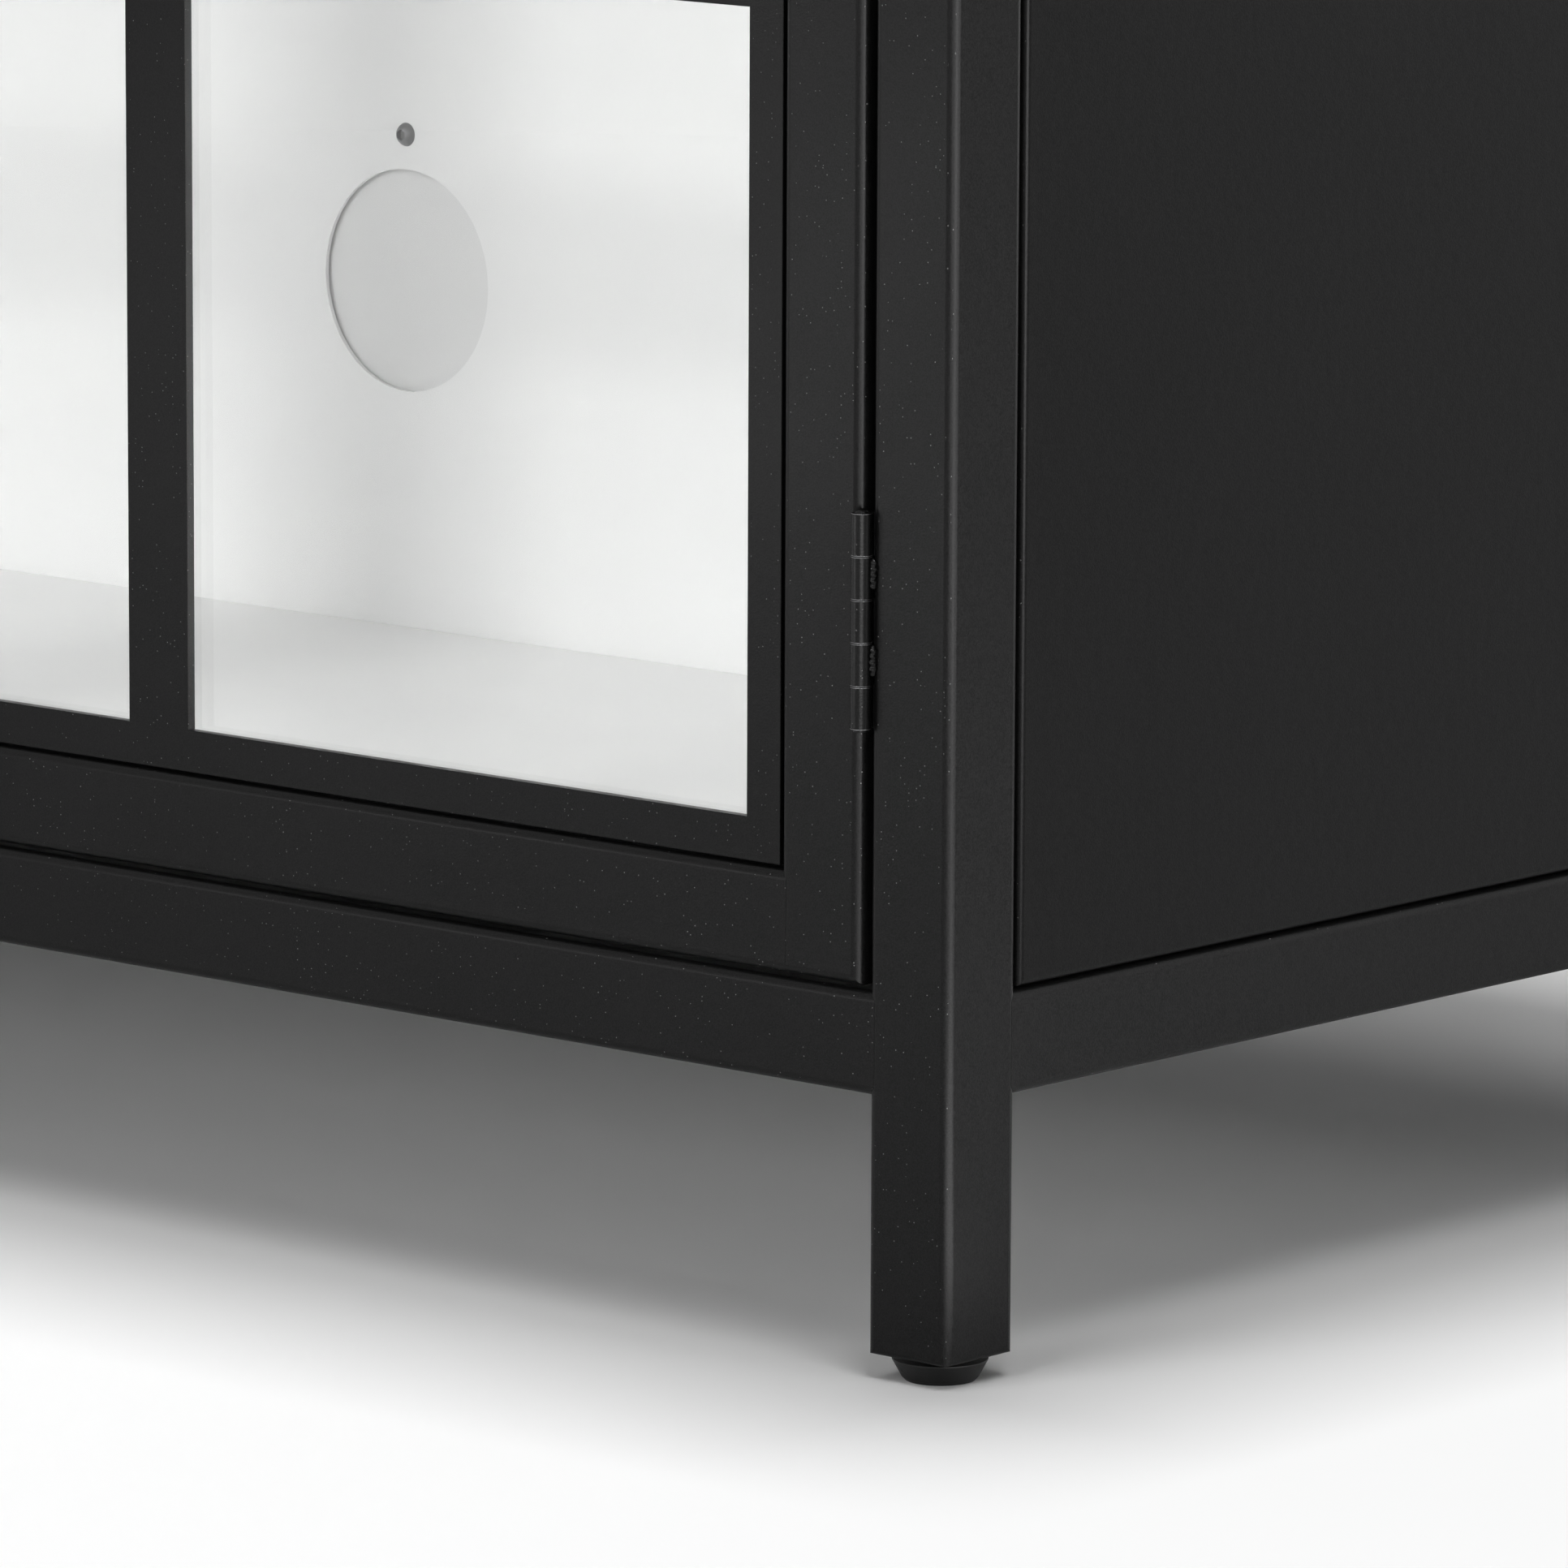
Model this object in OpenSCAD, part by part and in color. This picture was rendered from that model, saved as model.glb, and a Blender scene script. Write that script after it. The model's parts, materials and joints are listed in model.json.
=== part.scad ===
// Tall two-door display cabinet, in millimetres. A welded frame of square steel tube carries
// flush folded panels outside and white skins inside. Two glazed doors hang on weld-on barrel
// hinges; each has a tube frame, a lattice plate cut from one sheet, and one pane of glass behind.
// +X is right, +Y is back, +Z is up. The origin is on the floor, under the middle of the
// overall box, which runs from the door pulls to the back of the rear posts.

/* [Cabinet] */
// Width across the posts
width = 990; // [700:1:1300]
// Depth from the front of the front posts to the back of the rear posts
depth = 367; // [280:1:600]
// Height from the floor to the top of the frame
height = 1880; // [1500:1:2300]

/* [Frame tube] */
// Side of the square tube
tube = 25; // [20:0.5:32]
// Wall of the tube
tube_wall = 1.5; // [1:0.1:2.2]
// Outer corner radius of the tube
tube_radius = 2.5; // [1.8:0.1:4]
// Strip of a post's rounded edge that the ground weld leaves bare
weld_feather = 0.5; // [0.3:0.1:1]

/* [Legs and feet] */
// Length of post below the bottom rails
leg_length = 62.3; // [30:0.1:150]
// Rounding of a post's lower end
leg_round = 1.2; // [0.3:0.1:1.8]
// Gap between the end of a post and its foot pad, screwed in
foot_gap = 1; // [0.5:0.1:15]
// Height of the foot pad
pad_height = 5.2; // [3:0.1:12]
// Pad diameter at its rim
pad_rim_d = 23; // [16:0.5:30]
// Pad diameter on the floor
pad_base_d = 18.5; // [12:0.5:24]
// Height of the upright band at the pad's rim
pad_band = 0.3; // [0.1:0.1:2]
// Bevel at the pad's lower edge
pad_bevel = 0.8; // [0.2:0.1:1.5]
// Diameter of the foot's stem
stem_d = 8; // [6:0.5:10]
// Length of the stem above the pad
stem_length = 38; // [25:1:60]
// Length of the threaded insert in the post
insert_length = 22; // [15:1:40]
// Side clearance of the insert in the post
insert_clear = 0.15; // [0.05:0.05:0.4]
// Radial clearance between stem and insert
stem_clear = 0.05; // [0.02:0.01:0.1]

/* [Panels] */
// Thickness of all sheet panels
sheet = 1.2; // [0.8:0.1:2]
// Outer bend radius of the folded panels
bend_radius = 1.6; // [0.5:0.1:3]
// Depth of a folded panel's returns
panel_return = 11; // [6:0.5:12]
// Groove between an outer panel and the frame
panel_groove = 0.7; // [0.3:0.1:2]
// Gap between an inner skin and its neighbours
skin_gap = 0.4; // [0.2:0.1:1]
// Lap of the inner skins on the tubes that carry them
skin_lap = 11; // [5:0.5:14]

/* [Doors] */
// Gap between a door and its hinge post
hinge_gap = 3; // [2.6:0.1:5]
// Gap between the two doors
meeting_gap = 3; // [2:0.1:6]
// Gap between a door and the rails above and below
end_gap = 1; // [0.6:0.1:4]

/* [Grille and glass] */
// Rows of panes
rows = 8; // [4:1:10]
// Columns of panes in each door
columns = 2; // [1:1:3]
// Width of the bars between panes
bar_w = 20.5; // [10:0.5:40]
// Width of the plate's border
border = 10.5; // [6:0.5:30]
// Groove between the plate and the door frame
grille_groove = 0.8; // [0.4:0.1:2]
// Set-back of the plate behind the door's front
grille_recess = 1; // [0:0.1:4]
// Thickness of the plate
grille_t = 2.5; // [1.5:0.1:4]
// Thickness of the glass
glass_t = 4; // [3:0.5:6]
// Leg of the angle strips that hold the glass
stop_leg = 10; // [6:0.5:12]
// Thickness of the angle strips
stop_t = 1.2; // [0.8:0.1:2]
// Gap between the ends of the strips at the corners
stop_gap = 0.3; // [0.1:0.1:1]

/* [Hinges] */
// Hinges on each door
hinges = 3; // [2:1:4]
// Distance from a door's end to the middle of its end hinges
hinge_inset = 87.5; // [50:0.5:250]
// Diameter of the barrel
barrel_d = 5; // [4.4:0.1:8]
// Distance of the barrel's axis in front of the doors
barrel_standoff = 1.4; // [1.3:0.1:4]
// Pitch of the five knuckles
knuckle = 10.3; // [6:0.1:20]
// Gap between knuckles
knuckle_gap = 0.25; // [0.1:0.05:0.6]
// Thickness of the leaves
leaf_t = 1.1; // [0.8:0.05:1.2]
// Reach of the leaves from the barrel's axis
leaf_reach = 17; // [10:0.5:20]
// Diameter of the hinge pin
pin_d = 2.5; // [1.8:0.1:2.5]
// Radial clearance of the pin
pin_clear = 0.05; // [0.02:0.01:0.1]
// Diameter of the pin's domed head
pin_head_d = 3.7; // [3:0.1:4.2]
// Height of the pin's domed head
pin_head_h = 1; // [0.5:0.1:1.5]
// Height of the disc at the pin's lower end
pin_foot_h = 0.5; // [0.3:0.1:1]
// Clearance of the leaves behind the other leaf's knuckles
leaf_clear = 0.4; // [0.3:0.05:0.8]

/* [Pulls] */
// Distance between the legs of a pull
pull_span = 128; // [64:1:256]
// Diameter of the pull's rod
pull_d = 9; // [6:0.5:12]
// Bend radius of the rod at its middle line
pull_bend = 13; // [8:0.5:20]
// Reach of a pull in front of the posts
pull_reach = 34; // [25:0.5:50]
// Height of the pulls' middle above the floor
pull_height = 960; // [700:5:1200]

/* [Catch] */
// Width of the magnetic catch
catch_w = 60; // [50:1:80]
// Depth of the catch from front to back
catch_d = 16; // [10:0.5:30]
// Height of the catch
catch_h = 13; // [10:0.5:20]
// Width of each magnet
magnet_w = 18; // [8:0.5:20]
// Height of each magnet
magnet_h = 7; // [4:0.5:8]
// How far the magnets stand out of the catch
magnet_out = 1; // [0.5:0.1:2]
// Clearance of a magnet in its pocket
magnet_clear = 0.1; // [0.05:0.05:0.3]
// Thickness of the strike plates on the doors
strike_t = 1.5; // [1:0.1:2.5]
// Gap between magnets and strikes with the doors shut
strike_gap = 0.5; // [0.2:0.1:1.5]
// Margin of a strike plate round its magnet
strike_margin = 1; // [0.5:0.1:1.5]
// Corner rounding of the catch and the strike plates
catch_round = 1; // [0.3:0.1:2]

/* [Shelves] */
// Thickness of the shelves
shelf_t = 18; // [12:0.5:25]
// Edge rounding of the shelves
shelf_round = 1.5; // [0.5:0.1:4]
// Gap between a shelf and the side skins
shelf_side_gap = 1.6; // [1.4:0.1:4]
// Distance of the shelves behind the doors
shelf_set = 10; // [4:0.5:40]
// Gap between a shelf and the back panel
shelf_back_gap = 2; // [0.5:0.1:20]
// Diameter of the shelf pins
shelf_pin_d = 5; // [4:0.5:7]
// Reach of the pins under a shelf
shelf_pin_out = 11; // [7:0.5:20]
// Reach of the pins into the side wall
shelf_pin_in = 6; // [3:0.5:9]
// Collar thickness of the pins
collar_t = 1.1; // [0.6:0.1:1.2]
// Collar diameter of the pins
collar_d = 8; // [6.5:0.5:10]
// Distance of the pins from the shelf's front and back edges
shelf_pin_set = 50; // [20:1:90]
// Clearance of a pin in its hole and under its shelf
shelf_pin_clear = 0.1; // [0.05:0.05:0.3]

/* [Cable hole] */
// Diameter of the cable hole in the back panel
cable_hole_d = 64; // [40:1:90]
// Height of its middle above the floor panel
cable_hole_h = 100; // [70:1:160]
// Height of the cover's pivot above the middle of the hole
pivot_rise = 42; // [38:0.5:70]
// Lap of the cover past the rim of the hole
cover_lap = 6; // [2:0.5:12]
// Thickness of the cover
cover_t = 1.2; // [0.8:0.1:2]
// Half width of the tab that hangs on the pivot
tab_r = 9; // [7:0.5:14]
// Diameter of the pivot screw
pivot_d = 4; // [3:0.5:5]
// Radial clearance of the cover on the screw
pivot_clear = 0.05; // [0.02:0.01:0.1]
// Diameter of the screw's head
pivot_head_d = 6.8; // [6:0.1:9]
// Height of the screw's domed head
pivot_head_h = 2.6; // [1.5:0.1:3.2]
// Spacer between the back panel and the cover
spacer_t = 1; // [0.5:0.1:2]
// Diameter of the spacer
spacer_d = 9; // [7:0.5:12]
// Play of the cover between spacer and nut, on each side
cover_play = 0.1; // [0.05:0.05:0.3]
// Width of the lock nut across its flats
nut_flats = 7; // [6:0.5:9]
// Height of the lock nut
nut_h = 4; // [2:0.5:6]

/* [Wall anchors] */
// Distance between the two threaded anchors in the back of the top rail
anchor_span = 600; // [200:10:640]
// Outer diameter of an anchor
anchor_d = 9; // [8:0.5:11]
// Thread diameter of an anchor
anchor_thread_d = 5; // [4:0.1:6]
// Length of an anchor
anchor_length = 14; // [8:0.5:18]
// Radial clearance of an anchor in the rail
anchor_clear = 0.05; // [0.02:0.01:0.2]

/* [Hidden] */
$fn = 48;

// Smallest inside radius of a tube or a fold
least_radius = 0.3;

// Frame
half_w = width / 2;
front_y = (pull_reach - depth) / 2;
weld_run = tube_radius - weld_feather;
bore_radius = max(tube_radius - tube_wall, least_radius);
bore_side = tube - 2 * tube_wall;
leg_z = pad_height + foot_gap;
rail_z = leg_z + leg_length;
floor_z = rail_z + tube;
ceiling_z = height - tube;
back_y = depth - tube - sheet;
skin_face = tube + sheet;
inner_w = width - 2 * skin_face - 2 * skin_gap;
inner_d = back_y - tube - 2 * skin_gap;
// How far a cutter runs past what it cuts
past = 1;

// Doors, from the lower front corner at the hinge side
door_w = (width - 2 * tube - 2 * hinge_gap - meeting_gap) / 2;
door_z = floor_z + end_gap;
door_h = ceiling_z - end_gap - door_z;
opening_w = door_w - 2 * tube;
opening_h = door_h - 2 * tube;
grille_w = opening_w - 2 * grille_groove;
grille_h = opening_h - 2 * grille_groove;
pane_w = (grille_w - 2 * border - (columns - 1) * bar_w) / columns;
pane_h = (grille_h - 2 * border - (rows - 1) * bar_w) / rows;
pane_x = tube + grille_groove + border;
pane_z = tube + grille_groove + border;
glass_y = grille_recess + grille_t;
stop_y = glass_y + glass_t;
meeting_x = door_w - tube;

// Hinges, from the barrel's axis
door_knuckles = [0, 2, 4];
frame_knuckles = [1, 3];
hinge_length = (len(door_knuckles) + len(frame_knuckles)) * knuckle;
hinge_pitch = (door_h - 2 * hinge_inset) / (hinges - 1);
hinge_heights = [for (i = [0 : hinges - 1]) hinge_inset + i * hinge_pitch];
leaf_face = hinge_gap / 2;
leaf_root = (pin_d / 2 + pin_clear + barrel_d / 2) / 2;

// Catch, from the front of the posts
magnet_y = tube + strike_t + strike_gap;
magnet_depth = magnet_out + catch_d / 2;
strike_w = magnet_w + 2 * strike_margin;
strike_h = magnet_h + 2 * strike_margin;

// Shelves: lower, middle and upper
shelf_count = 3;
shelf_x = skin_face + shelf_side_gap;
shelf_front = tube + shelf_set;
shelf_back = back_y - shelf_back_gap;
row_pitch = pane_h + bar_w;

// Cable hole
hole_z = floor_z + cable_hole_h;
pivot_z = hole_z + pivot_rise;
cover_r = cable_hole_d / 2 + cover_lap;
spacer_y = depth - tube;
cover_y = spacer_y + spacer_t + cover_play;
nut_y = cover_y + cover_t + cover_play;
hex_r = nut_flats / sqrt(3);

black = [0.09, 0.09, 0.095];
hinge_black = [0.12, 0.12, 0.12];
white = [0.93, 0.93, 0.92];
clear_glass = [0.75, 0.85, 0.85, 0.35];
plastic = [0.06, 0.06, 0.06];
zinc = [0.7, 0.71, 0.73];

// Places

// Left (-1) or right (1) half, measured inwards from the outer front corner of the cabinet
module on_side(side) {
    mirror([side > 0 ? 1 : 0, 0, 0])
        translate([-half_w, front_y, 0])
            children();
}

// Front (-1) or rear (1) end of a side, measured from its outer corner
module on_corner(side, end) {
    on_side(side)
        translate([0, end > 0 ? depth : 0, 0])
            mirror([0, end > 0 ? 1 : 0, 0])
                children();
}

// Lower front corner of a door, at its hinge side
module on_door(side) {
    on_side(side)
        translate([tube + hinge_gap, 0, door_z])
            children();
}

// Middle of every hinge of one door, on the barrel's axis
module on_hinges(side) {
    for (z = hinge_heights)
        on_door(side)
            translate([-hinge_gap / 2, -barrel_standoff, z])
                children();
}

// Extrusions of a flat shape along the three axes, by length
module along_x(length) {
    rotate([90, 0, 90])
        linear_extrude(length)
            children();
}

// The flat shape's x and y become X and Z, and it runs back from Y = 0
module along_y(length) {
    translate([0, length, 0])
        rotate([90, 0, 0])
            linear_extrude(length)
                children();
}

module bore_y(d, length) {
    rotate([-90, 0, 0])
        cylinder(d = d, h = length);
}

// Shared shapes

module rounded(w, h, r) {
    translate([r, 0]) square([w - 2 * r, h]);
    translate([0, r]) square([w, h - 2 * r]);
    for (x = [r, w - r], y = [r, h - r])
        translate([x, y]) circle(r);
}

// A rectangle with its two upper corners rounded
module crowned(w, h, r) {
    square([w, h - r]);
    translate([r, 0]) square([w - 2 * r, h]);
    for (x = [r, w - r])
        translate([x, h - r]) circle(r);
}

module tube_section() {
    difference() {
        rounded(tube, tube, tube_radius);
        translate([tube_wall, tube_wall]) rounded(bore_side, bore_side, bore_radius);
    }
}

module tube_outside(length) {
    linear_extrude(length) rounded(tube, tube, tube_radius);
}

// A block with its face up and the four edges of that face rounded
module pan_block(w, d, h, r) {
    intersection() {
        along_x(w) crowned(d, h, r);
        along_y(d) crowned(w, h, r);
    }
}

// A folded sheet pan, face up, open below
module pan(w, d, h) {
    difference() {
        pan_block(w, d, h, bend_radius);
        translate([sheet, sheet, -past])
            pan_block(w - 2 * sheet, d - 2 * sheet, h - sheet + past,
                      max(bend_radius - sheet, least_radius));
    }
}

// Frame

// A post: its upper end is capped and rounded off at the outside of the cabinet, and its lower end
// is rounded all round and open for the foot
module post(side, end) {
    length = height - leg_z;
    color(black)
        on_corner(side, end)
            translate([0, 0, leg_z])
                difference() {
                    intersection() {
                        tube_outside(length);
                        translate([0, 0, -past])
                            along_x(tube) crowned(2 * tube, length + past, tube_radius);
                        translate([0, 0, -past])
                            along_y(tube) crowned(2 * tube, length + past, tube_radius);
                        along_x(tube) rounded(tube, length + tube, leg_round);
                        along_y(tube) rounded(tube, length + tube, leg_round);
                    }
                    translate([tube_wall, tube_wall, -past])
                        linear_extrude(length - tube_wall + past)
                            rounded(bore_side, bore_side, bore_radius);
                }
}

// Length and place of a rail across the front or back, for its section
module along_cross_rail(end, z) {
    translate([-half_w + tube - weld_run, end > 0 ? front_y + depth - tube : front_y, z])
        along_x(width - 2 * tube + 2 * weld_run)
            children();
}

// A rail across the front or back, with its ground welds run on to the posts' rounded edges
module cross_rail(end, z) {
    difference() {
        along_cross_rail(end, z) tube_section();
        for (side = [-1, 1])
            on_corner(side, end) tube_outside(height + past);
    }
}

// A rail from front to back, its welds coped over those of the cross rails
module side_rail(side, z) {
    color(black)
        difference() {
            on_side(side)
                translate([0, tube - weld_run, z])
                    along_y(depth - 2 * tube + 2 * weld_run) tube_section();
            for (end = [-1, 1]) {
                on_corner(side, end) tube_outside(height + past);
                along_cross_rail(end, z) rounded(tube, tube, tube_radius);
            }
        }
}

module top_rail_rear() {
    color(black)
        difference() {
            cross_rail(1, ceiling_z);
            at_anchors()
                translate([0, -anchor_length, 0])
                    bore_y(anchor_d + 2 * anchor_clear, anchor_length + past);
        }
}

module at_anchors() {
    for (x = [-anchor_span / 2, anchor_span / 2])
        translate([x, front_y + depth, height - tube / 2])
            children();
}

module wall_anchors() {
    color(zinc)
        at_anchors()
            translate([0, -anchor_length, 0])
                difference() {
                    bore_y(anchor_d, anchor_length);
                    translate([0, -past, 0])
                        bore_y(anchor_thread_d, anchor_length + 2 * past);
                }
}

// Outer panels

module side_panel(side) {
    color(black)
        on_side(side)
            translate([panel_return, tube + panel_groove, floor_z + panel_groove])
                rotate([0, -90, 0])
                    pan(ceiling_z - floor_z - 2 * panel_groove,
                        depth - 2 * tube - 2 * panel_groove, panel_return);
}

module top_panel() {
    color(black)
        translate([-half_w + tube + panel_groove, front_y + tube + panel_groove,
                   height - panel_return])
            pan(width - 2 * tube - 2 * panel_groove,
                depth - 2 * tube - 2 * panel_groove, panel_return);
}

// Inner skins

module floor_panel() {
    color(white)
        translate([-inner_w / 2, front_y + tube + skin_gap, floor_z - panel_return])
            pan(inner_w, inner_d, panel_return);
}

module ceiling_panel() {
    color(white)
        translate([-inner_w / 2, front_y + tube + skin_gap, ceiling_z + panel_return])
            mirror([0, 0, 1])
                pan(inner_w, inner_d, panel_return);
}

// The back panel laps on the rear posts and rails, with its corners notched for the side rails
module back_panel() {
    between_posts = half_w - tube;
    lap_x = between_posts + skin_lap;
    notch_x = between_posts - skin_gap;
    color(white)
        translate([0, front_y, 0])
            difference() {
                union() {
                    translate([-lap_x, back_y, floor_z + skin_gap])
                        cube([2 * lap_x, sheet, ceiling_z - floor_z - 2 * skin_gap]);
                    translate([-notch_x, back_y, floor_z - skin_lap])
                        cube([2 * notch_x, sheet, ceiling_z - floor_z + 2 * skin_lap]);
                }
                translate([0, back_y - past, hole_z])
                    bore_y(cable_hole_d, sheet + 2 * past);
                translate([0, back_y - past, pivot_z])
                    bore_y(pivot_d + 2 * pivot_clear, sheet + 2 * past);
            }
}

module side_skin(side) {
    color(white)
        difference() {
            on_side(side)
                translate([tube, tube + skin_gap, floor_z - skin_lap])
                    cube([sheet, inner_d, ceiling_z - floor_z + 2 * skin_lap]);
            for (i = [1 : shelf_count])
                at_shelf_pins(side, i)
                    translate([tube - past, 0, 0])
                        rotate([0, 90, 0])
                            cylinder(d = shelf_pin_d + 2 * shelf_pin_clear,
                                     h = sheet + 2 * past);
        }
}

// Shelves

// Underside of a shelf: the middle of its edge lies behind a bar of the grilles
function shelf_z(i) =
    door_z + pane_z + i * rows / (shelf_count + 1) * row_pitch - bar_w / 2 - shelf_t / 2;

module at_shelf_pins(side, i) {
    for (y = [shelf_front + shelf_pin_set, shelf_back - shelf_pin_set])
        on_side(side)
            translate([0, y, shelf_z(i) - shelf_pin_d / 2 - shelf_pin_clear])
                children();
}

module shelf(i) {
    color(white)
        translate([-half_w + shelf_x, front_y + shelf_front, shelf_z(i)])
            along_x(width - 2 * shelf_x)
                rounded(shelf_back - shelf_front, shelf_t, shelf_round);
}

module shelf_pins() {
    color(zinc)
        for (side = [-1, 1], i = [1 : shelf_count])
            at_shelf_pins(side, i)
                rotate([0, 90, 0]) {
                    translate([0, 0, skin_face - sheet - shelf_pin_in])
                        cylinder(d = shelf_pin_d, h = shelf_pin_in + sheet + shelf_pin_out);
                    translate([0, 0, skin_face])
                        cylinder(d = collar_d, h = collar_t);
                }
}

// Legs and feet

module on_foot(side, end) {
    on_corner(side, end)
        translate([tube / 2, tube / 2, 0])
            children();
}

module leg_inserts() {
    plug = bore_side - 2 * insert_clear;
    color(plastic)
        for (side = [-1, 1], end = [-1, 1])
            on_foot(side, end)
                translate([0, 0, leg_z])
                    difference() {
                        translate([-plug / 2, -plug / 2, 0])
                            linear_extrude(insert_length)
                                rounded(plug, plug, bore_radius);
                        translate([0, 0, -past])
                            cylinder(d = stem_d + 2 * stem_clear,
                                     h = insert_length + 2 * past);
                    }
}

module foot(side, end) {
    color(plastic)
        on_foot(side, end)
            rotate_extrude()
                polygon([
                    [0, 0],
                    [pad_base_d / 2 - pad_bevel, 0],
                    [pad_base_d / 2, pad_bevel],
                    [pad_rim_d / 2, pad_height - pad_band],
                    [pad_rim_d / 2, pad_height],
                    [stem_d / 2, pad_height],
                    [stem_d / 2, pad_height + stem_length],
                    [0, pad_height + stem_length]
                ]);
}

// Doors

// A full-height stile, capped and rounded off at both ends
module stile_at(x) {
    translate([x, 0, 0])
        difference() {
            intersection() {
                tube_outside(door_h);
                along_x(tube) rounded(tube, door_h, tube_radius);
            }
            translate([tube_wall, tube_wall, tube_wall])
                linear_extrude(door_h - 2 * tube_wall)
                    rounded(bore_side, bore_side, bore_radius);
        }
}

module door_hinge_stile(side) {
    color(black) on_door(side) stile_at(0);
}

module door_meeting_stile(side) {
    color(black) on_door(side) stile_at(meeting_x);
}

// A rail between the stiles, its ground welds run on to their rounded edges
module door_rail(side, z) {
    color(black)
        on_door(side)
            difference() {
                translate([tube - weld_run, 0, z])
                    along_x(opening_w + 2 * weld_run) tube_section();
                for (x = [0, meeting_x])
                    translate([x, 0, -past]) tube_outside(door_h + 2 * past);
            }
}

// The lattice plate: one sheet with a window cut for every pane
module door_grille(side) {
    color(black)
        on_door(side)
            translate([0, grille_recess, 0])
                along_y(grille_t)
                    difference() {
                        translate([tube + grille_groove, tube + grille_groove])
                            square([grille_w, grille_h]);
                        for (c = [0 : columns - 1], r = [0 : rows - 1])
                            translate([pane_x + c * (pane_w + bar_w), pane_z + r * row_pitch])
                                square([pane_w, pane_h]);
                    }
}

module door_glass(side) {
    color(clear_glass)
        on_door(side)
            translate([tube + grille_groove, glass_y, tube + grille_groove])
                cube([grille_w, glass_t, grille_h]);
}

// An angle strip's section: one leg lies on the tube, the other presses on the glass
module stop_section() {
    square([stop_t, stop_leg]);
    square([stop_leg, stop_t]);
}

module door_glazing_stops(side) {
    color(black)
        on_door(side) {
            for (flip = [0, 1])
                translate([flip ? meeting_x : tube, stop_y, tube])
                    mirror([flip, 0, 0])
                        linear_extrude(opening_h) stop_section();
            for (flip = [0, 1])
                translate([tube + stop_leg + stop_gap, stop_y, flip ? door_h - tube : tube])
                    mirror([0, 0, flip])
                        along_x(opening_w - 2 * stop_leg - 2 * stop_gap)
                            mirror([1, -1]) stop_section();
        }
}

// Hinges

// One leaf with its knuckles, from the middle of the barrel; toward is the side it lies on
module hinge_leaf(toward, knuckles) {
    leaf_x = toward > 0 ? leaf_face - leaf_t : -leaf_face;
    leaf_y = barrel_d / 2 + leaf_clear;
    height_of_one = knuckle - knuckle_gap;
    difference() {
        union() {
            translate([leaf_x, leaf_y, -hinge_length / 2 + knuckle_gap / 2])
                cube([leaf_t, leaf_reach - leaf_y, hinge_length - knuckle_gap]);
            for (k = knuckles)
                translate([0, 0, -hinge_length / 2 + k * knuckle + knuckle_gap / 2]) {
                    cylinder(d = barrel_d, h = height_of_one);
                    translate([leaf_x, leaf_root, 0])
                        cube([leaf_t, leaf_reach - leaf_root, height_of_one]);
                }
        }
        translate([0, 0, -hinge_length])
            cylinder(d = pin_d + 2 * pin_clear, h = 2 * hinge_length);
    }
}

module hinge_frame_leaves() {
    color(hinge_black)
        for (side = [-1, 1])
            on_hinges(side) hinge_leaf(-1, frame_knuckles);
}

module door_hinge_leaves(side) {
    color(hinge_black)
        on_hinges(side) hinge_leaf(1, door_knuckles);
}

// A domed head of a given diameter and height, on its flat base
module dome(d, h) {
    ball = (d * d / 4 + h * h) / (2 * h);
    rotate_extrude()
        intersection() {
            translate([0, h - ball]) circle(ball);
            square([d / 2, h]);
        }
}

module hinge_pins() {
    color(hinge_black)
        for (side = [-1, 1])
            on_hinges(side) {
                translate([0, 0, -hinge_length / 2 - pin_foot_h])
                    cylinder(d = pin_d, h = hinge_length + pin_foot_h);
                translate([0, 0, -hinge_length / 2 - pin_foot_h])
                    cylinder(d = pin_head_d, h = pin_foot_h);
                translate([0, 0, hinge_length / 2])
                    dome(pin_head_d, pin_head_h);
            }
}

// Pulls and catch

// Half of a bent rod: a straight grip, one bend and one leg
module pull_half() {
    grip_y = -pull_reach + pull_d / 2;
    bend_z = pull_span / 2 - pull_bend;
    translate([0, grip_y, 0])
        cylinder(d = pull_d, h = bend_z);
    translate([0, grip_y + pull_bend, bend_z])
        rotate([90, 0, -90])
            rotate_extrude(angle = 90)
                translate([pull_bend, 0]) circle(d = pull_d);
    translate([0, grip_y + pull_bend, pull_span / 2])
        bore_y(pull_d, -grip_y - pull_bend);
}

module door_pull(side) {
    color(black)
        on_door(side)
            translate([meeting_x + tube / 2, 0, pull_height - door_z])
                for (flip = [0, 1])
                    mirror([0, 0, flip]) pull_half();
}

module door_strike(side) {
    color(zinc)
        on_door(side)
            translate([meeting_x + (tube - strike_w) / 2, tube,
                       ceiling_z - door_z - (catch_h + strike_h) / 2])
                along_y(strike_t)
                    rounded(strike_w, strike_h, catch_round);
}

module at_magnets() {
    for (side = [-1, 1])
        translate([side * (meeting_gap + tube) / 2, front_y + magnet_y, ceiling_z - catch_h / 2])
            children();
}

module magnet_block(clear) {
    translate([-magnet_w / 2 - clear, -clear, -magnet_h / 2 - clear])
        cube([magnet_w + 2 * clear, magnet_depth + 2 * clear, magnet_h + 2 * clear]);
}

module catch_housing() {
    color(plastic)
        difference() {
            translate([-catch_w / 2, front_y + magnet_y + magnet_out, ceiling_z - catch_h])
                along_y(catch_d)
                    rounded(catch_w, catch_h, catch_round);
            at_magnets() magnet_block(magnet_clear);
        }
}

module catch_magnets() {
    color(zinc) at_magnets() magnet_block(0);
}

// Cable hole

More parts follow.
